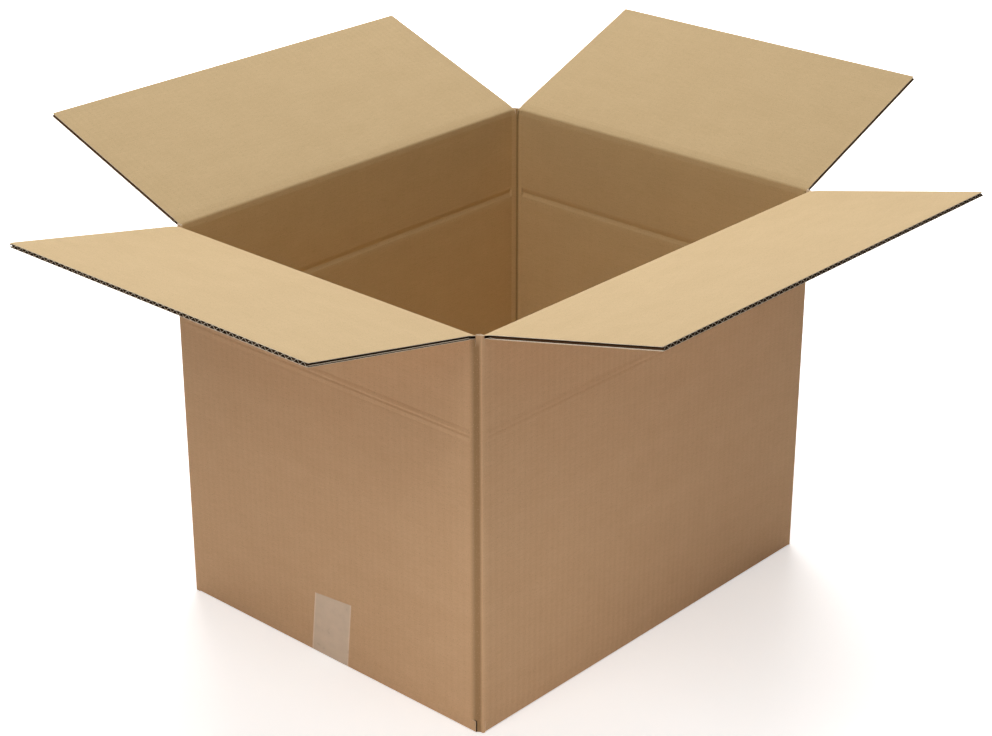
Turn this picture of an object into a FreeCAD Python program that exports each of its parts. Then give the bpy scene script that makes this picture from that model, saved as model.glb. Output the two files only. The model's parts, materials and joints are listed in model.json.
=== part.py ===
import FreeCAD
import Part

# Open carton of single-wall corrugated board, one scored and folded blank.
# X runs along the long walls, Y along the short walls, Z up. The origin is the
# middle of the footprint, on the underside of the tape that closes the bottom.

import math
import os

Vector = FreeCAD.Vector

# Outside sizes of the carton
length = 495.0
width = 400.0
crease_height = 400.0

# Board and its flutes
board = 4.0
liner = 0.45
medium = 0.4
flute_pitch = 7.75

# Scores that let the board fold
corner_leg = 8.0
corner_valley = 4.6
corner_round = 3.0
inner_leg = 5.0
depth_score_height = 305.0
groove_width = 12.0
groove_depth = 1.5
ridge_width = 10.0
ridge_height = 0.5

# Slots, seams and the glued joint
slot_width = 9.0
slot_rise = 0.5
seam_gap = 1.0
joint_play = 1.0
tab_width = 35.0
tab_trim_angle = 15.0
tab_set_back = 8.0
tab_fold_round = 3.0

# Bottom folds
fold_round = 2.5
inside_round = 1.0
flap_gap = 0.3

# Creases that the top flaps turn on
crease_inset = 1.0
bead_radius = 0.7
crease_gap = 0.3
crush_reach = 12.0
open_limit = 165.0

# Opening angle of each top flap, from upright, outwards
front_open_angle = 77.1
back_open_angle = 70.1
left_open_angle = 78.1
right_open_angle = 67.3

# Clear tape over the bottom seam
tape_width = 50.0
tape_thickness = 0.1
tape_turn_up = 70.0
tape_lean = 5.5
tape_stand = 5.0

# Sizes that follow from those above
half_length = length / 2
half_width = width / 2
slot_edge = (board + slot_width) / 2
crease_step = board + crease_gap
long_crease = crease_height + crease_step / 2
short_crease = crease_height - crease_step / 2
slot_floor = long_crease + slot_rise
flap_reach = half_width - seam_gap / 2
flap_depth = flap_reach - crease_inset
short_flap_floor = tape_thickness + board + flap_gap
fold_top = short_flap_floor + 2 * board
raw_edge = half_width - board - joint_play
tab_start = half_width - board - joint_play / 2
nose_round = 0.475 * board
crush_lean = math.radians((180 - open_limit) / 2)
past_board = 2 * board
touching = 1e-6


def in_plan(z):
    """Points of an outline drawn in plan, at height z."""
    return lambda a, b: Vector(a, b, z)


def in_section(x):
    """Points of an outline drawn in cross section, at x along the wall."""
    return lambda a, b: Vector(x, a, b)


def rounded_corner(before, corner, after, radius):
    """Start, middle and end of the arc that rounds one corner."""
    to_before = before.sub(corner).normalize()
    to_after = after.sub(corner).normalize()
    half_angle = to_before.getAngle(to_after) / 2
    setback = radius / math.tan(half_angle)
    bisector = to_before.add(to_after).normalize()
    middle = corner.add(bisector * (radius / math.sin(half_angle) - radius))
    return corner.add(to_before * setback), middle, corner.add(to_after * setback)


def outline(points, place):
    """Closed wire through points (a, b), or (a, b, radius) where the corner is rounded."""
    corners = [place(point[0], point[1]) for point in points]
    count = len(corners)
    turns = []
    for i, point in enumerate(points):
        if len(point) > 2:
            turns.append(rounded_corner(corners[i - 1], corners[i], corners[(i + 1) % count], point[2]))
        else:
            turns.append((corners[i], corners[i], corners[i]))
    edges = []
    for i, (start, middle, end) in enumerate(turns):
        if start.distanceToPoint(end) > touching:
            edges.append(Part.Arc(start, middle, end).toShape())
        following = turns[(i + 1) % count][0]
        if end.distanceToPoint(following) > touching:
            edges.append(Part.LineSegment(end, following).toShape())
    return Part.Wire(edges)


def prism(points, start, end):
    """Solid with one cross section, from start to end along the wall."""
    face = Part.Face(outline(points, in_section(start)))
    return face.extrude(Vector(end - start, 0, 0))


def upright(points, bottom, top):
    """Solid with one plan outline, from bottom to top."""
    face = Part.Face(outline(points, in_plan(bottom)))
    return face.extrude(Vector(0, 0, top - bottom))


def at_wall(shape, wall):
    """Carries a shape from the wall's own frame to its place on the carton.

    In that frame x runs along the wall, y is the depth from its outer face, and z is up.
    """
    placed = shape.copy()
    placed.translate(Vector(0, -wall["distance"], 0))
    placed.rotate(Vector(0, 0, 0), Vector(0, 0, 1), wall["turn"])
    return placed


WALLS = {
    "front": {"distance": half_width, "half": half_length, "turn": 0, "crease": long_crease},
    "right": {"distance": half_length, "half": half_width, "turn": 90, "crease": short_crease},
    "back": {"distance": half_width, "half": half_length, "turn": 180, "crease": long_crease},
    "left": {"distance": half_length, "half": half_width, "turn": 270, "crease": short_crease},
}


def folded_corner_outside(sign_x, sign_y):
    """Two rounded shoulders with a valley between them, from the short wall to the long wall."""
    x = sign_x * half_length
    y = sign_y * half_width
    return [
        (x, y - sign_y * corner_leg, corner_round),
        (x - sign_x * corner_valley, y - sign_y * corner_valley, corner_round),
        (x - sign_x * corner_leg, y, corner_round),
    ]


def folded_corner_inside(sign_x, sign_y):
    """Flat band that the crushed inner liner makes, from the short wall to the long wall."""
    x = sign_x * (half_length - board)
    y = sign_y * (half_width - board)
    return [
        (x, y - sign_y * inner_leg, inside_round),
        (x - sign_x * inner_leg, y, inside_round),
    ]


def wall_band():
    """The four walls: the blank's section from the raw edge of the left wall to the tab's fold."""
    left = -half_length
    back = half_width
    points = [(left, raw_edge)]
    points += folded_corner_outside(-1, -1)
    points += reversed(folded_corner_outside(1, -1))
    points += folded_corner_outside(1, 1)
    points += [
        (left + board, back, tab_fold_round),
        (left + board, tab_start),
        (left + 2 * board, tab_start),
        (left + 2 * board, back - board),
    ]
    points += reversed(folded_corner_inside(1, 1))
    points += folded_corner_inside(1, -1)
    points += reversed(folded_corner_inside(-1, -1))
    points.append((left + board, raw_edge))
    return upright(points, tape_thickness, slot_floor)


def glue_tab():
    """Tab folded from the back wall and glued inside the left wall, its ends trimmed at an angle."""
    tab_end = half_width - tab_width
    drop = (tab_start - tab_end) * math.tan(math.radians(tab_trim_angle))
    low = fold_top
    high = short_crease - tab_set_back
    points = [(tab_start, low), (tab_start, high), (tab_end, high - drop), (tab_end, low + drop)]
    face = Part.Face(outline(points, in_section(-half_length + board)))
    return face.extrude(Vector(board, 0, 0))


def crease_cut(wall, start, end):
    """Room over the crushed top of one wall, between its slots, clear of the turning flap."""
    crease = wall["crease"]
    ridge = crease - bead_radius - crease_gap
    outer_start = crease_inset + crease_gap / math.cos(crush_lean)
    outer_edge = outer_start - (crease - ridge) * math.tan(crush_lean)
    outer_foot = crease - (outer_start + past_board) / math.tan(crush_lean)
    mitre_start = crease - crease_gap * math.sqrt(2)
    inner_edge = crease_inset + mitre_start - ridge
    inner_foot_y = board + inner_leg + inside_round
    inner_foot = mitre_start - (inner_foot_y - crease_inset)
    top = slot_floor + past_board
    points = [
        (-past_board, top),
        (-past_board, outer_foot),
        (outer_edge, ridge),
        (inner_edge, ridge),
        (inner_foot_y, inner_foot),
        (inner_foot_y, top),
    ]
    return at_wall(prism(points, start, end), wall)


def crease_cuts():
    """The four cuts over the walls. The left wall's runs out past its raw edge at the glued joint."""
    cuts = []
    for name, wall in WALLS.items():
        half = wall["half"] - slot_edge + crease_gap
        start = -(raw_edge + joint_play / 4) if name == "left" else -half
        cuts.append(crease_cut(wall, start, half))
    return cuts


def long_bottom_flap(wall):
    """Fold of a long wall and the outer bottom flap, which meets the other at the middle seam."""
    floor = tape_thickness
    points = [
        (0, fold_top),
        (0, floor, fold_round),
        (flap_reach, floor),
        (flap_reach, floor + board),
        (board, floor + board, inside_round),
        (board, fold_top),
    ]
    half = wall["half"] - slot_edge
    return at_wall(prism(points, -half, half), wall)


def short_bottom_flap(wall):
    """Fold of a short wall, down to the floor, and the inner bottom flap on top of the long ones."""
    floor = tape_thickness
    points = [
        (0, fold_top),
        (0, floor, nose_round),
        (board, floor, nose_round),
        (board, short_flap_floor, inside_round / 2),
        (flap_reach, short_flap_floor),
        (flap_reach, short_flap_floor + board),
        (board, short_flap_floor + board, inside_round),
        (board, fold_top),
    ]
    half = wall["half"] - slot_edge
    return at_wall(prism(points, -half, half), wall)


def under_wall(wall):
    """Lower end of one wall between its slots, where the fold takes the place of the straight board."""
    half = wall["half"] - slot_edge
    points = [(0, 0), (board, 0), (board, fold_top), (0, fold_top)]
    return at_wall(prism(points, -half, half), wall)


def depth_groove(name, start, end, inner_face):
    """Groove of the depth score, pressed into the inner liner."""
    height = depth_score_height
    points = [
        (inner_face + groove_depth, height + groove_width),
        (inner_face - groove_depth, height),
        (inner_face + groove_depth, height - groove_width),
    ]
    return at_wall(prism(points, start, end), WALLS[name])


def depth_grooves():
    """The groove along each wall and, at the left wall's end, along the glue tab that covers it."""
    cuts = []
    corner = board + inner_leg
    for name in ("front", "right", "back"):
        reach = WALLS[name]["half"] - corner
        cuts.append(depth_groove(name, -reach, reach, board))
    tab_end = half_width - tab_width
    cuts.append(depth_groove("left", -tab_end, half_width - corner, board))
    cuts.append(depth_groove("left", corner - half_width, -tab_end, 2 * board))
    return cuts


def depth_ridge(wall):
    """Low ridge that the depth score raises on the outer liner."""
    height = depth_score_height
    half = wall["half"] - corner_leg
    foot_low = Vector(-half, 0, height - ridge_width / 2)
    foot_high = Vector(-half, 0, height + ridge_width / 2)
    crest = Vector(-half, -ridge_height, height)
    arc = Part.Arc(foot_low, crest, foot_high).toShape()
    into_board = Vector(0, board / 4, 0)
    back_low = foot_low.add(into_board)
    back_high = foot_high.add(into_board)
    sides = Part.makePolygon([foot_high, back_high, back_low, foot_low])
    face = Part.Face(Part.Wire([arc] + sides.Edges))
    return at_wall(face.extrude(Vector(2 * half, 0, 0)), wall)


def carton_body():
    """Walls, glue tab, scores and closed bottom as one folded solid."""
    body = wall_band()
    walls = WALLS.values()
    body = body.cut(Part.makeCompound([under_wall(wall) for wall in walls]))
    folds = [long_bottom_flap(WALLS["front"]), long_bottom_flap(WALLS["back"])]
    folds += [short_bottom_flap(WALLS["left"]), short_bottom_flap(WALLS["right"])]
    ridges = [depth_ridge(wall) for wall in walls]
    body = body.fuse(folds + ridges + [glue_tab()]).removeSplitter()
    return body.cut(Part.makeCompound(crease_cuts() + depth_grooves()))


def channel(centre, half_base, base, apex):
    """One open channel between the wavy medium and a liner, as the cut edge shows it."""
    corners = [(centre - half_base, base), (centre + half_base, base), (centre, apex)]
    return outline(corners, in_plan(crush_reach))


def fluted_section(half):
    """Section of the flap's board across its flutes. Both side edges are cut through a channel."""
    outer = -crease_inset
    inner = board - crease_inset
    count = round(2 * half / flute_pitch)
    pitch = 2 * half / count
    flank = math.atan2(board - 2 * liner - medium, pitch / 2)
    half_base = pitch / 2 - medium / math.sin(flank)
    inner_base = inner - liner
    inner_apex = outer + liner + medium
    outer_base = outer + liner
    outer_apex = inner - liner - medium
    edge = [
        (-half, outer),
        (half, outer),
        (half, inner_apex),
        (half - half_base, inner_base),
        (half, inner_base),
        (half, inner),
        (-half, inner),
        (-half, inner_base),
        (-half + half_base, inner_base),
        (-half, inner_apex),
    ]
    wires = [outline(edge, in_plan(crush_reach))]
    for i in range(1, count):
        wires.append(channel(-half + i * pitch, half_base, inner_base, inner_apex))
    for i in range(count):
        wires.append(channel(-half + (i + 0.5) * pitch, half_base, outer_base, outer_apex))
    return Part.makeFace(wires, "Part::FaceMakerBullseye")


def flap_root(half):
    """Crushed board at the crease: a round bead on the crease line, widening to the full board."""
    outer = -crease_inset
    inner = board - crease_inset
    points = [
        (0, 0),
        (inner, inner),
        (inner, crush_reach),
        (outer, crush_reach),
        (outer, crease_inset / math.tan(crush_lean)),
    ]
    wedge = prism(points, -half, half)
    bead = Part.makeCylinder(bead_radius, 2 * half, Vector(-half, 0, 0), Vector(1, 0, 0))
    return wedge.fuse(bead)


def top_flap(wall, open_angle):
    """One top flap: crushed root and fluted board, turned out about its crease."""
    half = wall["half"] - slot_edge
    flutes = fluted_section(half).extrude(Vector(0, 0, flap_depth - crush_reach))
    flap = flap_root(half).fuse(flutes).removeSplitter()
    flap.rotate(Vector(0, 0, 0), Vector(1, 0, 0), open_angle)
    flap.translate(Vector(0, crease_inset, wall["crease"]))
    return at_wall(flap, wall)


def bottom_tape():
    """Tape along the bottom seam, turned up straight on the right wall and leaning on the left."""
    outer_x = half_length + tape_thickness
    outer_round = nose_round + tape_thickness
    right_top = tape_thickness + tape_turn_up
    left_start = tape_thickness + tape_stand
    points = [
        (-outer_x, left_start),
        (-outer_x, 0, outer_round),
        (outer_x, 0, outer_round),
        (outer_x, right_top),
        (half_length, right_top),
        (half_length, tape_thickness, nose_round),
        (-half_length, tape_thickness, nose_round),
        (-half_length, left_start),
    ]
    half = tape_width / 2
    face = Part.Face(outline(points, lambda a, b: Vector(a, -half, b)))
    strip = face.extrude(Vector(0, tape_width, 0))
    lean = math.radians(tape_lean)
    drift = tape_turn_up * math.sin(lean)
    left_top = tape_thickness + tape_turn_up * math.cos(lean)
    tilt = half * math.sin(lean)
    leaning = [
        (-half, left_start),
        (half, left_start),
        (half - drift, left_top - tilt),
        (-half - drift, left_top + tilt),
    ]
    face = Part.Face(outline(leaning, in_section(-outer_x)))
    end = face.extrude(Vector(tape_thickness, 0, 0))
    return strip.fuse(end).removeSplitter()


def build():
    """Every piece by its name."""
    return {
        "carton_body": carton_body(),
        "long_flap_front": top_flap(WALLS["front"], front_open_angle),
        "long_flap_back": top_flap(WALLS["back"], back_open_angle),
        "short_flap_left": top_flap(WALLS["left"], left_open_angle),
        "short_flap_right": top_flap(WALLS["right"], right_open_angle),
        "bottom_tape": bottom_tape(),
    }


os.makedirs("parts", exist_ok=True)
for name, piece in build().items():
    piece.exportStep("parts/" + name + ".step")
    print(name, len(piece.Solids), "solid,", len(piece.Faces), "faces, closed and valid:", piece.isValid())
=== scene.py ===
import json
import math

import bmesh
import bpy
from mathutils import Matrix, Vector


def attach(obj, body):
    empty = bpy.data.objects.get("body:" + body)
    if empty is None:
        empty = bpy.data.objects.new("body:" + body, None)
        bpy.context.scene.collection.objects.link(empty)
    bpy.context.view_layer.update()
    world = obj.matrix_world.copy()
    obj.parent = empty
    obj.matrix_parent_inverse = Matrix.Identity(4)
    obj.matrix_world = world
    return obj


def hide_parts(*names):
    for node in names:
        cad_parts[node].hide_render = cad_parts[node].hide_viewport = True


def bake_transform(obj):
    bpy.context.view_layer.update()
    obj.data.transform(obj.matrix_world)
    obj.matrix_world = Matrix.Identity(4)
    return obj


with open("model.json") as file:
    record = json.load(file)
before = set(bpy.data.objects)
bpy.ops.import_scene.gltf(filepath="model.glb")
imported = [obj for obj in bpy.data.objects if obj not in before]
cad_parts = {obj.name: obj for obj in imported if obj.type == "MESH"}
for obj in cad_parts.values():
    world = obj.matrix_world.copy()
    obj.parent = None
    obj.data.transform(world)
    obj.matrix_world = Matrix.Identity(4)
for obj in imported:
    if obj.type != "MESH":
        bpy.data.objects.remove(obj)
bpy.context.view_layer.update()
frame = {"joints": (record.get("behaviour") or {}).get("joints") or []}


# The four walls.
# One sheet of single-wall kraft board goes round the goods: three of its corners are scored
# and folded, and at the fourth a tab from the back wall is glued inside the left one.

mm = 0.001
length = 495 * mm
width = 400 * mm
crease_height = 400 * mm
board = 4 * mm
liner = 0.45 * mm
flute_pitch = 7.75 * mm
floor_gap = 0.1 * mm
walls_low = 12.4 * mm
walls_high = 391 * mm
raw_edge = width / 2 - 1.5 * mm
tab_width = 35 * mm
slot_edge = 6.5 * mm
post_top = 402.4 * mm
post_foot = 0.2 * mm
fine_turn = math.radians(11)  # the most that a bend turns between two rows of points
same_place = 0.01 * mm
near = 0.05 * mm  # how far a point may be from where it is looked for


class Grain:
    """A socket of a material's nodes, written into sums as if it were a number."""

    def __init__(self, socket):
        self.socket = socket

    def add_node(self, kind, settings=None, output=0, **values):
        """Any other node: its settings come first, then the values or links of its sockets."""
        node = self.socket.id_data.nodes.new(kind)
        for name, value in (settings or {}).items():
            setattr(node, name, value)
        for name, value in values.items():
            plain = name.replace("_", " ")
            slot = next(s for s in node.inputs if s.enabled and s.name == plain)
            if isinstance(value, Grain):
                self.socket.id_data.links.new(value.socket, slot)
            else:
                slot.default_value = value
        return Grain(node.outputs[output])

    def sum_node(self, operation, *terms):
        """One step of the sum."""
        node = self.socket.id_data.nodes.new("ShaderNodeMath")
        node.operation = operation
        for slot, term in zip(node.inputs, terms):
            if isinstance(term, Grain):
                self.socket.id_data.links.new(term.socket, slot)
            else:
                slot.default_value = term
        return Grain(node.outputs[0])

    def __add__(self, other):
        return self.sum_node("ADD", self, other)

    def __radd__(self, other):
        return self.sum_node("ADD", other, self)

    def __sub__(self, other):
        return self.sum_node("SUBTRACT", self, other)

    def __rsub__(self, other):
        return self.sum_node("SUBTRACT", other, self)

    def __mul__(self, other):
        return self.sum_node("MULTIPLY", self, other)

    def __rmul__(self, other):
        return self.sum_node("MULTIPLY", other, self)

    def above(self, low, high):
        """0 below low, 1 above high and a soft step between them."""
        return self.add_node("ShaderNodeMapRange", {"interpolation_type": "SMOOTHSTEP"},
                             Value=self, From_Min=low, From_Max=high)

    def wave(self, pitch):
        """A sine that repeats every pitch."""
        return self.sum_node("SINE", self * (2 * math.pi / pitch))


def linear(red, green, blue):
    """A colour as a paint chart gives it, 0 to 255, as the numbers that the shader takes."""
    tones = []
    for part in (red, green, blue):
        part = part / 255
        tones.append(part / 12.92 if part <= 0.04045 else ((part + 0.055) / 1.055) ** 2.4)
    return (*tones, 1.0)


def new_finish(name):
    """A material with its shader's own sockets, ready for its colour, roughness and relief."""
    finish = bpy.data.materials.new(name)
    finish.use_nodes = True
    shader = finish.node_tree.nodes["Principled BSDF"]
    return finish, shader, Grain(shader.outputs[0])


def feed(shader, name, value):
    """Leads a worked-out value to one of the shader's sockets."""
    shader.id_data.links.new(value.socket, shader.inputs[name])


def mix_colours(first, second, share):
    """From the first colour to the second, by share."""
    return share.add_node("ShaderNodeMix", {"data_type": "RGBA"}, 2, Factor=share, A=first, B=second)


def shade(colour, red, green, blue):
    """The same colour with each of its parts turned down or up."""
    return (colour[0] * red, colour[1] * green, colour[2] * blue, 1.0)


def paper_noise(place, scale, detail, roughness):
    """Cloudy noise over the flat sheet."""
    return place.add_node("ShaderNodeTexNoise", {"noise_dimensions": "2D"},
                          Vector=place, Scale=scale, Detail=detail, Roughness=roughness)


def kraft_paper(name, deep, pale, relief):
    """Brown liner paper: fibres laid across the flutes, cloudy pulp, flecks and a faint washboard,
    with painted shade in the washboard's ripples and in the corner folds.
    """
    finish, shader, start = new_finish(name)
    sheet = start.add_node("ShaderNodeUVMap", {"uv_map": "sheet"})
    across = sheet.add_node("ShaderNodeSeparateXYZ", Vector=sheet)
    along = Grain(across.socket.node.outputs[1])
    fibre_run = sheet.add_node("ShaderNodeCombineXYZ", X=across * 70.0, Y=along * 620.0)
    fibres = paper_noise(fibre_run, 1.0, 4.0, 0.62)
    pulp = paper_noise(sheet, 24.0, 5.0, 0.6)
    drag_run = sheet.add_node("ShaderNodeCombineXYZ", X=across * 5.0, Y=along * 60.0)
    drag = paper_noise(drag_run, 1.0, 3.0, 0.5)
    specks = paper_noise(sheet, 900.0, 1.0, 0.4)
    dark_specks = specks.above(0.70, 0.76)
    pale_specks = 1.0 - specks.above(0.25, 0.31)
    washboard = across.wave(flute_pitch)
    fold_shade_share = sheet.add_node("ShaderNodeAttribute", {"attribute_name": "painted_fold_shade"}, 2)

    # The washboard's share of the tone is painted shade of its ripples; their relief is the bump
    # further down.
    tone = fibres * 0.62 + pulp * 0.34 + drag * 0.22 + washboard * (0.045 * relief) - 0.09
    colour = mix_colours(deep, pale, tone)
    # Painted shade: the corner folds' bands and crevices are darkened and warmed as if they lay in
    # shadow.
    colour = mix_colours(colour, shade(deep, 0.50, 0.47, 0.36), fold_shade_share * 0.8)
    colour = mix_colours(colour, shade(deep, 0.62, 0.62, 0.62), dark_specks * 0.5)
    colour = mix_colours(colour, shade(pale, 1.16, 1.16, 1.16), pale_specks * 0.35)
    feed(shader, "Base Color", colour)
    height = washboard * 0.5 * relief + fibres * 0.16 + pulp * 0.35
    bump = sheet.add_node("ShaderNodeBump", Height=height, Distance=0.16 * mm, Strength=0.8)
    feed(shader, "Normal", bump)
    feed(shader, "Roughness", 0.80 + fibres * 0.14)
    shader.inputs["Specular IOR Level"].default_value = 0.28
    return finish


def torn_paper(name, deep, pale):
    """Cut edge of the paper, where its short pale fibres stand out."""
    finish, shader, start = new_finish(name)
    place = start.add_node("ShaderNodeTexCoord", output=3)
    fuzz = place.add_node("ShaderNodeTexNoise", Vector=place, Scale=900.0, Detail=3.0)
    feed(shader, "Base Color", mix_colours(deep, pale, fuzz.above(0.3, 0.7)))
    bump = place.add_node("ShaderNodeBump", Height=fuzz, Distance=0.1 * mm, Strength=0.6)
    feed(shader, "Normal", bump)
    shader.inputs["Roughness"].default_value = 0.95
    shader.inputs["Specular IOR Level"].default_value = 0.15
    return finish


outer_paper = kraft_paper("outer_liner_paper", linear(203, 160, 119), linear(224, 184, 143), 1.0)
inner_paper = kraft_paper("inner_liner_paper", linear(204, 174, 127), linear(224, 195, 148), 0.35)
medium_paper = kraft_paper("medium_paper", linear(84, 56, 33), linear(112, 78, 50), 0.0)
cut_paper = torn_paper("cut_edge_paper", linear(238, 214, 182), linear(255, 241, 218))


def start_fresh():
    """Object mode, with nothing selected."""
    if bpy.context.object and bpy.context.object.mode != "OBJECT":
        bpy.ops.object.mode_set(mode="OBJECT")
    bpy.ops.object.select_all(action="DESELECT")


def take(piece):
    """Makes one piece the one that is worked on."""
    start_fresh()
    piece.select_set(True)
    bpy.context.view_layer.objects.active = piece


def pick(piece, wanted, kind="VERT"):
    """In edit mode, selects the points, edges or faces of a piece that are wanted."""
    bpy.ops.mesh.select_mode(type=kind)
    bpy.ops.mesh.select_all(action="DESELECT")
    mesh = bmesh.from_edit_mesh(piece.data)
    for item in {"VERT": mesh.verts, "EDGE": mesh.edges, "FACE": mesh.faces}[kind]:
        item.select = wanted(item)
    if kind == "VERT":
        mesh.select_flush(True)
    bmesh.update_edit_mesh(piece.data)


def runs_and_bends(points):
    """Straight runs and round bends along points (y, z), or (y, z, radius) where the sheet bends."""
    legs = []
    here = Vector(points[0][:2])
    for i in range(1, len(points)):
        corner = Vector(points[i][:2])
        if len(points[i]) == 2:
            legs.append((here, corner, None, 0.0))
            here = corner
            continue
        before = (corner - here).normalized()
        after = (Vector(points[i + 1][:2]) - corner).normalized()
        turn = math.atan2(before.x * after.y - before.y * after.x, before.dot(after))
        radius = points[i][2]
        setback = radius * math.tan(abs(turn) / 2)
        start = corner - before * setback
        left = Vector((-before.y, before.x))
        centre = start + left * math.copysign(radius, turn)
        legs.append((here, start, None, 0.0))
        here = corner + after * setback
        legs.append((start, here, centre, turn))
    return legs


def lay_sheet(name, points, start, end, marks, seen_side, flutes_follow_path=True):
    """A sheet of paper along a path in the y-z plane, from start to end in x, with its UV map.

    It is laid as a flat strip and carried on by extruding its last row and by spinning it round
    each bend. marks are the places in x that get a row of points of their own. seen_side is 1
    where the side that shows is on the left of the path, and -1 where it is on the right.
    """
    legs = runs_and_bends(points)
    rows = [(legs[0][0], 0.0)]
    first, last = legs[0][0], legs[0][1]
    run = last - first
    start_fresh()
    bpy.ops.mesh.primitive_grid_add(x_subdivisions=1, y_subdivisions=1, size=1)
    piece = bpy.context.object
    piece.name = name
    slope = math.atan2(run.y, run.x)
    middle = (first + last) / 2
    piece.scale = (end - start, run.length, 1)
    piece.rotation_euler = (slope, 0, 0)
    piece.location = ((start + end) / 2, middle.x, middle.y)
    bpy.ops.object.transform_apply(location=True, rotation=True, scale=True)
    bpy.ops.object.mode_set(mode="EDIT")
    pick(piece, lambda v: (Vector((v.co.y, v.co.z)) - last).length < same_place)
    travelled = run.length
    rows.append((last, travelled))
    for begin, finish, centre, turn in legs[1:]:
        if centre is None:
            step = finish - begin
            if step.length < same_place:
                continue
            bpy.ops.mesh.extrude_region_move(TRANSFORM_OT_translate={"value": (0, step.x, step.y)})
            travelled += step.length
            rows.append((finish, travelled))
            continue
        steps = max(2, math.ceil(abs(turn) / fine_turn))
        bpy.ops.mesh.spin(steps=steps, angle=-turn, center=(0, centre.x, centre.y), axis=(1, 0, 0))
        radius = (begin - centre).length
        for i in range(1, steps + 1):
            arm = Matrix.Rotation(turn * i / steps, 2) @ (begin - centre)
            rows.append((centre + arm, travelled + radius * abs(turn) * i / steps))
        travelled += radius * abs(turn)
    for mark in marks:
        bpy.ops.mesh.select_all(action="SELECT")
        bpy.ops.mesh.bisect(plane_co=(mark, 0, 0), plane_no=(1, 0, 0))
    bpy.ops.mesh.select_all(action="SELECT")
    bpy.ops.mesh.normals_make_consistent(inside=False)
    bpy.ops.object.mode_set(mode="OBJECT")
    left = Vector((0, -math.sin(slope), math.cos(slope)))
    sample = min(piece.data.polygons, key=lambda f: (Vector(f.center[1:]) - middle).length)
    if sample.normal.dot(left) * seen_side < 0:
        piece.data.flip_normals()
    for old in list(piece.data.uv_layers):
        piece.data.uv_layers.remove(old)
    sheet = piece.data.uv_layers.new(name="sheet")
    travel = []
    for v in piece.data.vertices:
        spot = Vector((v.co.y, v.co.z))
        travel.append(min(rows, key=lambda row: (row[0] - spot).length)[1])
    for loop in piece.data.loops:
        v = piece.data.vertices[loop.vertex_index]
        place = (v.co.x, travel[loop.vertex_index])
        sheet.data[loop.index].uv = place if flutes_follow_path else place[::-1]
    return piece


def apply_modifier(piece, kind, **settings):
    """Adds one modifier and applies it."""
    take(piece)
    modifier = piece.modifiers.new(kind, kind)
    for name, value in settings.items():
        setattr(modifier, name, value)
    bpy.ops.object.modifier_apply(modifier=kind)


def thicken(piece, thickness, seen, hidden, cut):
    """Gives a sheet its thickness behind the side that shows, with a finish for each side."""
    for finish in (seen, hidden, cut):
        piece.data.materials.append(finish)
    apply_modifier(piece, "SOLIDIFY", thickness=thickness, offset=-1.0, use_even_offset=True,
                   material_offset=1, material_offset_rim=2)
    return piece


def soften(piece, angle=35):
    """Rounds the shading over bends, and keeps it flat at edges that are sharper than angle."""
    take(piece)
    bpy.ops.object.shade_smooth_by_angle(angle=math.radians(angle))


def folded_corner(x, y, profile):
    """The points of a scored corner in plan, from the short wall to the long wall.

    x and y are the outer corner, and the profile holds the depths behind the two outer faces.
    """
    in_x, in_y = -math.copysign(1, x), -math.copysign(1, y)
    return [(x + in_x * a * mm, y + in_y * b * mm, r * mm) for a, b, r in profile]


def wall_plan(profile, face, fold_round):
    """The walls in plan, from the left wall's raw edge round to the end of the glue tab."""
    x, y = length / 2, width / 2
    points = [(-x + face, raw_edge)]
    points += folded_corner(-x, -y, profile)
    points += reversed(folded_corner(x, -y, profile))
    points += folded_corner(x, y, profile)
    points += [(-x + board + face, y - face, fold_round), (-x + board + face, y - tab_width)]
    return points


def join(pieces, name):
    """Makes several meshes one piece."""
    take(pieces[0])
    for other in pieces[1:]:
        other.select_set(True)
    bpy.ops.object.join()
    pieces[0].name = name
    return pieces[0]


# Where the painted shade of the corner folds lies, behind the outer faces of the short wall (x) and
# the long one (y).
fold_shade_end = 12.5 * mm
fold_shade_fade = 5 * mm
fold_shade_band = (-0.3 * mm, 3.9 * mm, 4.2 * mm)
crevice_x = (4.1 * mm, 6 * mm)
crevice_y = (4.6 * mm, 8.4 * mm)


def paint_fold_shade(piece):
    """Marks the bands and crevices of the corner folds for painted shade, darker than the flat panels.
    """
    painted_fold_shade = piece.data.attributes.new("painted_fold_shade", "FLOAT", "POINT")
    face_x, bend_x, bend_y = fold_shade_band
    for v, mark in zip(piece.data.vertices, painted_fold_shade.data):
        in_x, in_y = length / 2 - abs(v.co.x), width / 2 - abs(v.co.y)
        at_joint = v.co.x < 0 and v.co.y > 0
        if at_joint or v.co.z > crease_height:
            continue
        if face_x < in_x < bend_x and in_y > bend_y:
            mark.value = min(1.0, max(0.0, (fold_shade_end - in_y) / fold_shade_fade))
        elif crevice_x[0] < in_x < crevice_x[1] and crevice_y[0] < in_y < crevice_y[1]:
            mark.value = 1.0


# The depth score: how far from its middle each row of points lies, and how deep the liner is
# pressed in there on the inside, or how far it stands out on the outside, in millimetres.
score_height = 305 * mm
groove = {-6.5: 0.1, -4: 0.5, -2: 1.55, 0: 2.1, 2: 1.45, 4: 0.9, 6: 0.5, 8: 0.2}
beads = {-6.5: -0.25, -4: 0.3, -2: 0.5, 0: -0.1, 2: 0.5, 4: 0.3, 6: -0.25}
score_marks = [score_height + step * mm for step in (-12, -9, -6.5, -4, -2, 0, 2, 4, 6, 8)]

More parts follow.
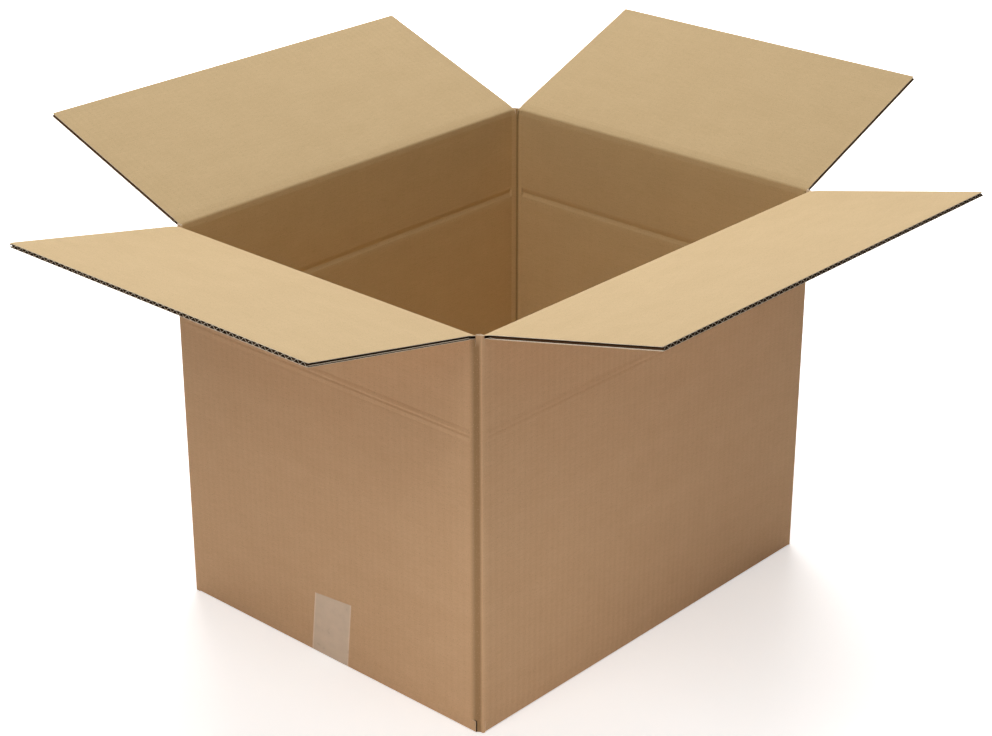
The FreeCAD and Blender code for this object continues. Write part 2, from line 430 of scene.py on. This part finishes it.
# The corner folds in plan: depth behind the short wall's face and behind the long wall's face,
# and the radius of the bend there, in millimetres.
outer_fold = [(0, 12.5, 3), (1.2, 7.5, 4), (3.7, 4.3, 0.3), (4.1, 1.0, 0.8), (7.0, 0, 1.5)]
inner_fold = [(4, 12, 1), (5.1, 9.4, 0.8), (4.2, 6.0, 0.3), (6.3, 5.5, 0.5), (11, 4, 2)]
outer_plan = wall_plan(outer_fold, 0, 3 * mm)
inner_plan = wall_plan(inner_fold, board, 0.8 * mm)
outside = lay_sheet("outside", outer_plan, walls_low, walls_high, score_marks, -1, False)
inside = lay_sheet("inside", inner_plan, walls_low, walls_high, score_marks, 1, False)
outside.data.materials.append(outer_paper)
inside.data.materials.append(inner_paper)
stand_up = Matrix(((0, 1, 0, 0), (0, 0, 1, 0), (1, 0, 0, 0), (0, 0, 0, 1)))
for sheet in (outside, inside):
    sheet.data.transform(stand_up)
walls = join([outside, inside], "carton_walls")
walls.data.materials.append(cut_paper)
walls.data.materials.append(medium_paper)
cut_slot, medium_slot = 2, 3
bpy.ops.object.mode_set(mode="EDIT")
pick(walls, lambda e: len(e.link_faces) == 1, "EDGE")
bpy.ops.mesh.bridge_edge_loops()
walls.active_material_index = cut_slot
bpy.ops.object.material_slot_assign()

# The slots' edges and the ends of the score, cut as rows of points all round.
groove_end = 12.6 * mm
for inset in (slot_edge, groove_end):
    for side in (-1, 1):
        for spot, along in ((length / 2 - inset, (1, 0, 0)), (width / 2 - inset, (0, 1, 0))):
            bpy.ops.mesh.select_all(action="SELECT")
            bpy.ops.mesh.bisect(plane_co=Vector(along) * spot * side, plane_no=along)


def on_wall(v, height, face):
    """True for a point of the walls' flat parts at a height, on the surface at depth face."""
    half_board = board / 2
    if abs(v.co.z - height) > near:
        return False
    flat_x = abs(v.co.x) < length / 2 - groove_end + near
    flat_y = abs(v.co.y) < width / 2 - groove_end + near
    at_long = abs(abs(v.co.y) - (width / 2 - face)) < half_board and flat_x
    at_short = abs(abs(v.co.x) - (length / 2 - face)) < half_board and flat_y
    return at_long or at_short


for step, depth in groove.items():
    pick(walls, lambda v: on_wall(v, score_height + step * mm, board))
    bpy.ops.transform.shrink_fatten(value=-depth * mm)
for step, rise in beads.items():
    pick(walls, lambda v: on_wall(v, score_height + step * mm, 0))
    bpy.ops.transform.shrink_fatten(value=rise * mm)


def in_slot(face):
    """True for faces of the rims inside the slots between the flaps."""
    spot = face.calc_center_median()
    return abs(spot.x) > length / 2 - slot_edge and abs(spot.y) > width / 2 - slot_edge


def on_raw_end(face):
    """True for faces of the left wall's raw end, over the glue tab."""
    spot = face.calc_center_median()
    return spot.x < -(length / 2 - board) and spot.y > 0


# The posts of the corners go on up between the flaps, where their flutes are open, and down
# between the bottom flaps to the floor.
pick(walls, lambda f: f.normal.z > 0.9 and f.calc_center_median().z > walls_high - near
     and in_slot(f) and not on_raw_end(f), "FACE")
bpy.ops.mesh.extrude_region_move(TRANSFORM_OT_translate={"value": (0, 0, post_top - walls_high)})
bpy.ops.mesh.inset(thickness=liner, use_boundary=True)
flute_shaft = 9 * mm
bpy.ops.mesh.extrude_region_move(TRANSFORM_OT_translate={"value": (0, 0, -flute_shaft)})
walls.active_material_index = medium_slot
bpy.ops.object.material_slot_assign()
pick(walls, lambda f: f.normal.z < -0.9 and f.calc_center_median().z < walls_low + near
     and in_slot(f), "FACE")
bpy.ops.mesh.extrude_region_move(TRANSFORM_OT_translate={"value": (0, 0, post_foot - walls_low)})
bpy.ops.object.mode_set(mode="OBJECT")
corner_kink = 16
soften(walls, corner_kink)
# The bands and crevices of the corner folds are marked for painted shade.
paint_fold_shade(walls)
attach(walls, "carton")
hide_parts("carton_body")


# The four top flaps.
# Each is the top of its own wall, bent out along a scored crease. Between its two liners runs
# the wavy medium, which shows at every cut edge; at the crease the wheel has crushed it flat.

joints = {joint["name"]: joint for joint in frame["joints"]}
crease_inset = 1 * mm
flap_depth = 198.5 * mm
medium = 0.4 * mm
crest_crush = 1.1 * mm
flap_trim = 0.05 * mm
crease_reach = 5 * mm

# The foot of each flap follows the folded corners beside it. Places are counted from the outer
# corner, depths from the wall's outer face, and both are in millimetres. Of the rows between two
# heights, the foot takes the corner's depth by a share.
shoulder_marks = (7, 8, 9.4, 11, 12.5)
foot_rows = [(390, 397, 1.0), (397, 401, 0.6)]
foot_front = -0.3 * mm
long_wall = {"distance": width / 2, "half": length / 2 - slot_edge,
             "outer_shoulder": [(4.1, 1.0), (7, 0)], "inner_shoulder": [(6.3, 5.5), (11, 4)]}
short_wall = {"distance": length / 2, "half": width / 2 - slot_edge,
              "outer_shoulder": [(4.3, 3.7), (7.5, 1.2), (12.5, 0)],
              "inner_shoulder": [(6, 4.2), (9.4, 5.1), (12, 4)]}
sides = {
    "front": {"turn": 0, "node": "long_flap_front", "phase": 0, **long_wall},
    "back": {"turn": 180, "node": "long_flap_back", "phase": 0, **long_wall},
    "left": {"turn": 270, "node": "short_flap_left", "phase": math.radians(65), **short_wall},
    "right": {"turn": 90, "node": "short_flap_right", "phase": 0, **short_wall},
}


def to_wall(side):
    """From a wall's own frame, x along it, y the depth from its outer face, to its place."""
    place = Matrix.Translation((0, -side["distance"], 0))
    return Matrix.Rotation(math.radians(side["turn"]), 4, "Z") @ place


def flute_sheet(name, half, begin, reach, phase, crushed):
    """The wavy medium: one flute shaped, repeated along the board and trimmed to its cut edges."""
    count = round(2 * half / flute_pitch)
    pitch = 2 * half / count
    height = board / 2 - liner - medium / 2
    points_round = 14
    crushed_row, full_row = begin + 3 * mm, begin + 8 * mm
    start_fresh()
    bpy.ops.mesh.primitive_grid_add(x_subdivisions=points_round, y_subdivisions=1, size=1)
    piece = bpy.context.object
    piece.name = name
    piece.scale = (pitch, reach - begin, 1)
    piece.location = (-half - pitch / 2, (begin + reach) / 2, 0)
    bpy.ops.object.transform_apply(location=True, rotation=True, scale=True)
    bpy.ops.object.mode_set(mode="EDIT")
    for spot in (crushed_row, full_row):
        bpy.ops.mesh.select_all(action="SELECT")
        bpy.ops.mesh.bisect(plane_co=(0, spot, 0), plane_no=(0, 1, 0))
    for i in range(points_round + 1):
        x = -half - pitch + pitch * i / points_round
        lift = height * math.cos(2 * math.pi * i / points_round + phase)
        pick(piece, lambda v: abs(v.co.x - x) < near)
        bpy.ops.transform.translate(value=(0, 0, lift))
    if crushed:
        for row, flatness in ((begin, 0.3), (crushed_row, 0.75)):
            pick(piece, lambda v: abs(v.co.y - row) < near)
            bpy.ops.transform.resize(value=(1, 1, flatness), center_override=(0, begin, 0))
    bpy.ops.object.mode_set(mode="OBJECT")
    for old in list(piece.data.uv_layers):
        piece.data.uv_layers.remove(old)
    piece.data.uv_layers.new(name="sheet")
    apply_modifier(piece, "ARRAY", count=count + 2, use_relative_offset=False,
                   use_constant_offset=True, constant_offset_displace=(pitch, 0, 0),
                   use_merge_vertices=True, merge_threshold=near)
    for loop in piece.data.loops:
        spot = piece.data.vertices[loop.vertex_index].co
        piece.data.uv_layers[0].data[loop.index].uv = (spot.x, spot.y)
    thicken(piece, medium, medium_paper, medium_paper, cut_paper)
    piece.data.transform(Matrix.Translation((0, 0, medium / 2)))
    bpy.ops.object.mode_set(mode="EDIT")
    for end in (-half, half):
        bpy.ops.mesh.select_all(action="SELECT")
        bpy.ops.mesh.bisect(plane_co=(end, 0, 0), plane_no=(math.copysign(1, end), 0, 0),
                            clear_outer=True, use_fill=True)
        piece.active_material_index = cut_slot
        bpy.ops.object.material_slot_assign()
    bpy.ops.object.mode_set(mode="OBJECT")
    return piece


def depth_at(spot, shoulder):
    """Depth of the wall's surface at a distance from the corner, both in millimetres."""
    for (near_end, low), (far_end, high) in zip(shoulder, shoulder[1:]):
        if spot <= far_end:
            return low + (high - low) * (spot - near_end) / (far_end - near_end)
    return shoulder[-1][1]


def meet_corners(sheet, half, shoulder, face):
    """Bends the ends of a flap's foot to the folded corners that it is cut free from."""
    bpy.ops.object.mode_set(mode="EDIT")
    for e in (slot_edge / mm,) + shoulder_marks:
        shift = (depth_at(e, shoulder) - face) * mm
        spot = half + slot_edge - e * mm
        for low, high, share in foot_rows:
            pick(sheet, lambda v: abs(abs(v.co.x) - spot) < near and low * mm < v.co.z <= high * mm
                 and v.co.y > foot_front)
            bpy.ops.transform.translate(value=(0, shift * share, 0))
    bpy.ops.object.mode_set(mode="OBJECT")


def top_flap(name, body, side, joint):
    """One top flap with its crease and the few millimetres of wall under it."""
    opened = math.radians(-joint["range_deg"][0] - 90)
    axis = Vector((crease_inset, joint["pos_m"][2]))
    tip = axis + flap_depth * Vector((-math.sin(opened), math.cos(opened)))
    root = Vector((crease_inset, crease_height))
    depth = (tip - root).length - flap_trim
    out = (tip - root).normalized()
    inward = Vector((out.y, -out.x))
    lean = math.atan2(-out.x, out.y)
    inner = board - crease_inset
    outer_corner = Vector((0, crease_height - crease_inset * math.tan(lean / 2)))
    crest = root + Vector((inner, inner * math.tan(lean / 2)))
    crest -= (Vector((1, 0)) + inward).normalized() * crest_crush

    def section(reach, rise):
        """A point of the flap's section, reach out from the crease and rise in from its line."""
        return root + out * reach + inward * rise

    # The outer liner turns at the score and bulges a little beyond it. The inner one is pressed
    # in at the crease, and stands in a soft roll on both sides.
    outer_points = [(0, walls_high), (*outer_corner, 0.9 * mm),
                    (*section(5 * mm, 0.35 * mm - crease_inset), 2.5 * mm),
                    (*section(9 * mm, -0.05 * mm - crease_inset), 2.5 * mm),
                    tuple(section(depth, -crease_inset))]
    inner_points = [(board, walls_high), (board, crease_height - 5 * mm, 5 * mm),
                    (*crest, 3.6 * mm), (*section(9 * mm, inner), 6 * mm),
                    tuple(section(depth, inner))]
    half = side["half"]
    marks = [sign * (half + slot_edge - e * mm) for sign in (-1, 1) for e in shoulder_marks]
    outer_sheet = lay_sheet("outer", outer_points, -half, half, marks, 1)
    meet_corners(outer_sheet, half, side["outer_shoulder"], 0)
    thicken(outer_sheet, liner, outer_paper, medium_paper, cut_paper)
    inner_sheet = lay_sheet("inner", inner_points, -half, half, marks, -1)
    meet_corners(inner_sheet, half, side["inner_shoulder"], board / mm)
    thicken(inner_sheet, liner, inner_paper, medium_paper, cut_paper)
    flutes = flute_sheet("flutes", half, 7 * mm, depth, side["phase"], True)
    middle = root + inward * (board / 2 - crease_inset)
    lay_back = Matrix.Rotation(math.pi / 2 + lean, 4, "X")
    flutes.data.transform(Matrix.Translation((0, *middle)) @ lay_back)
    flap = join([outer_sheet, inner_sheet, flutes], name)
    place = to_wall(side)
    flap.data.transform(place)
    soften(flap)
    # The flap's foot at the folded corners takes the same painted shade.
    paint_fold_shade(flap)
    bisector = (out + Vector((0, 1))).normalized() * crease_reach
    ends = [place @ Vector((0, *(root + bisector * sign))) for sign in (-1, 1)]
    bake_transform(flap)
    return flap


for wall, side in sides.items():
    flap = top_flap(side["node"] + "_board", wall + "_flap", side, joints[wall + "_crease"])
    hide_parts(side["node"])


# The four bottom flaps.
# They are the lower ends of the same walls, folded in: the short walls' two first, then the long
# walls' two under them, which meet along the middle where the tape holds them.

flap_reach = width / 2 - 0.5 * mm
short_floor = floor_gap + board + 0.3 * mm


def bottom_flap(name, side, outer_points, inner_points, underside):
    """One closed bottom flap with the fold that it hangs on."""
    half = side["half"]
    outer = lay_sheet("outer", outer_points, -half, half, [], -1)
    thicken(outer, liner, outer_paper, medium_paper, cut_paper)
    inner = lay_sheet("inner", inner_points, -half, half, [], 1)
    thicken(inner, liner, inner_paper, medium_paper, cut_paper)
    flutes = flute_sheet("flutes", half, 8 * mm, flap_reach, 0, False)
    flutes.data.transform(Matrix.Translation((0, 0, underside + board / 2)))
    flap = join([outer, inner, flutes], name)
    flap.data.transform(to_wall(side))
    soften(flap)
    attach(flap, "carton")


long_floor = floor_gap + board
short_top = short_floor + board
fold_round = 2.5 * mm
nose_round = 1.9 * mm  # the short flaps' board folds back on itself under the wall
inside_round = 1 * mm
for wall in ("front", "back"):
    bottom_flap("bottom_flap_" + wall, sides[wall],
                [(0, walls_low), (0, floor_gap, fold_round), (flap_reach, floor_gap)],
                [(board, walls_low), (board, long_floor, inside_round), (flap_reach, long_floor)],
                floor_gap)
for wall in ("left", "right"):
    bottom_flap("bottom_flap_" + wall, sides[wall],
                [(0, walls_low), (0, floor_gap, nose_round), (board, floor_gap, nose_round),
                 (board, short_floor, 0.5 * mm), (flap_reach, short_floor)],
                [(board, walls_low), (board, short_top, inside_round), (flap_reach, short_top)],
                short_floor)


# The tape.
# A strip of clear packing film holds the bottom seam. It is rubbed down by hand and turned up
# both short walls; on the left one its end leans a little.

tape_width = 50 * mm
tape_thickness = 0.1 * mm
tape_turn_up = 70 * mm
tape_lean = math.radians(5.5)
lean_from = 5 * mm


def tape_film():
    """Clear film with a milky glue, denser along its edges and where it hasn't wetted the paper; its
    high opacity and pale colour also paint in the sheen that it reflects.
    """
    finish, shader, start = new_finish("tape_film")
    sheet = start.add_node("ShaderNodeUVMap", {"uv_map": "sheet"})
    across = sheet.add_node("ShaderNodeSeparateXYZ", Vector=sheet)
    from_middle = across.sum_node("ABSOLUTE", across)
    edge = from_middle.above(tape_width / 2 - 2.2 * mm, tape_width / 2 - 0.8 * mm)
    cloud = sheet.add_node("ShaderNodeTexNoise", {"noise_dimensions": "2D"},
                           Vector=sheet, Scale=90.0, Detail=3.0)
    # Painted sheen: the opacity and the pale base colour stand in for the light that the film
    # reflects.
    feed(shader, "Alpha", 0.66 + cloud * 0.12 + edge * 0.12)
    feed(shader, "Roughness", 0.22 + cloud * 0.2)
    bump = sheet.add_node("ShaderNodeBump", Height=cloud, Distance=0.2 * mm, Strength=0.4)
    feed(shader, "Normal", bump)
    shader.inputs["Base Color"].default_value = linear(248, 221, 192)
    shader.inputs["IOR"].default_value = 1.49
    return finish


film = tape_film()
edge_x = length / 2 + tape_thickness
tape_fold = 2 * mm
straight_end = tape_thickness + tape_turn_up
leaning_end = tape_thickness + tape_turn_up * math.cos(tape_lean)
tape_points = [(-edge_x, straight_end), (-edge_x, 0, tape_fold), (edge_x, 0, tape_fold),
               (edge_x, lean_from + tape_thickness), (edge_x, leaning_end)]
tape = lay_sheet("seam_tape", tape_points, -tape_width / 2, tape_width / 2, [], -1)
bpy.ops.object.mode_set(mode="EDIT")
drift = tape_turn_up * math.sin(tape_lean)
tilt = tape_width / 2 * math.sin(tape_lean)
for sign in (-1, 1):
    pick(tape, lambda v: v.co.y > 0 and v.co.z > tape_turn_up / 2 and v.co.x * sign > 0)
    bpy.ops.transform.translate(value=(-drift, 0, -tilt * sign))
bpy.ops.object.mode_set(mode="OBJECT")
thicken(tape, tape_thickness, film, film, film)
tape.data.transform(Matrix.Rotation(math.radians(90), 4, "Z"))
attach(tape, "carton")
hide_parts("bottom_tape")


# The floor and the light.
# A plain white floor that keeps the carton's shadow. Large soft lamps stand high behind the
# carton and over its left side, and two low cards light the foot of its near walls.

bpy.ops.mesh.primitive_plane_add(size=24)
floor = bpy.context.object
floor.name = "floor"
white_floor, shader, start = new_finish("white_floor")
shader.inputs["Base Color"].default_value = (0.93, 0.93, 0.93, 1)
shader.inputs["Roughness"].default_value = 0.9
shader.inputs["Specular IOR Level"].default_value = 0.0
path = start.add_node("ShaderNodeLightPath")
rays = path.socket.node.outputs
seen = Grain(rays["Is Camera Ray"]) + Grain(rays["Is Glossy Ray"]) + Grain(rays["Is Transmission Ray"])
place = start.add_node("ShaderNodeTexCoord", output=3)
far = place.add_node("ShaderNodeVectorMath", {"operation": "LENGTH"}, 1, Vector=place)
brightness = seen * (0.5 + far.above(0.4, 1.4) * 0.5)
glow = start.add_node("ShaderNodeEmission", Color=(1, 1, 1, 1), Strength=brightness)
tree = white_floor.node_tree
both = tree.nodes.new("ShaderNodeAddShader")
tree.links.new(shader.outputs[0], both.inputs[0])
tree.links.new(glow.socket, both.inputs[1])
tree.links.new(both.outputs[0], tree.nodes["Material Output"].inputs["Surface"])
floor.data.materials.append(white_floor)

world = bpy.data.worlds.new("room")
bpy.context.scene.world = world
world.use_nodes = True
room = world.node_tree.nodes["Background"]
room.inputs["Color"].default_value = (1, 1, 1, 1)
path = Grain(room.outputs[0]).add_node("ShaderNodeLightPath")
feed(room, "Strength", 0.02 + Grain(path.socket.node.outputs["Is Camera Ray"]) * 0.98)


def hang_lamp(name, place, aim, width, height, energy):
    """One soft lamp that faces aim."""
    lamp = bpy.data.objects.new(name, bpy.data.lights.new(name, "AREA"))
    bpy.context.scene.collection.objects.link(lamp)
    lamp.data.shape = "RECTANGLE"
    lamp.data.size, lamp.data.size_y = width, height
    lamp.data.energy = energy
    lamp.location = place
    lamp.rotation_euler = (Vector(place) - Vector(aim)).to_track_quat("Z", "Y").to_euler()
    return lamp


# Each lamp's place and the side of its square in metres, and its power in watts.
lamp_aim = (0, 0, 0.3)
lamps = {
    "high_lamp": ((0.9, 0.9, 2.4), 2.2, 34.5),
    "rear_lamp": ((2.0, 2.0, 1.5), 2.0, 72),
    "high_left_lamp": ((-1.5, -0.3, 2.2), 1.4, 18.5),
    "high_front_lamp": ((-0.1, -1.6, 2.2), 1.4, 3.5),
    "left_lamp": ((-2.6, -0.5, 0.6), 1.6, 3.6),
    "front_lamp": ((-0.3, -2.6, 0.6), 1.6, 1),
}
for name, (place, size, energy) in lamps.items():
    hang_lamp(name, place, lamp_aim, size, size, energy)

# Each card's place, the point of the wall's foot that it faces, and its power.
cards = {
    "left_card": ((-0.68, -0.28, 0.07), (-0.25, -0.16, 0.03), 0.46),
    "front_card": ((-0.17, -0.62, 0.07), (-0.04, -0.20, 0.03), 0.385),
}
card_width, card_height = 0.5, 0.14
for name, (place, aim, energy) in cards.items():
    card = hang_lamp(name, place, aim, card_width, card_height, energy)
    card.visible_camera = False


# The camera.
# It stands over the near corner at the photo's angle. Its place and its lens come from the
# camera that was fitted to the carton's corners in the photo.

target = Vector((44.3 * mm, 45.6 * mm, 200 * mm))
turn, rise, distance = math.radians(-47.80), math.radians(24.56), 2354.4 * mm
back = Vector((math.sin(turn) * math.cos(rise), -math.cos(turn) * math.cos(rise), math.sin(rise)))
camera = bpy.data.objects.new("camera", bpy.data.cameras.new("camera"))
bpy.context.scene.collection.objects.link(camera)
camera.location = target + back * distance
camera.rotation_euler = (-back).to_track_quat("-Z", "Y").to_euler()
camera.data.sensor_width = 36
camera.data.lens = 81.96
bpy.context.scene.camera = camera
bpy.context.scene.view_settings.view_transform = "Standard"
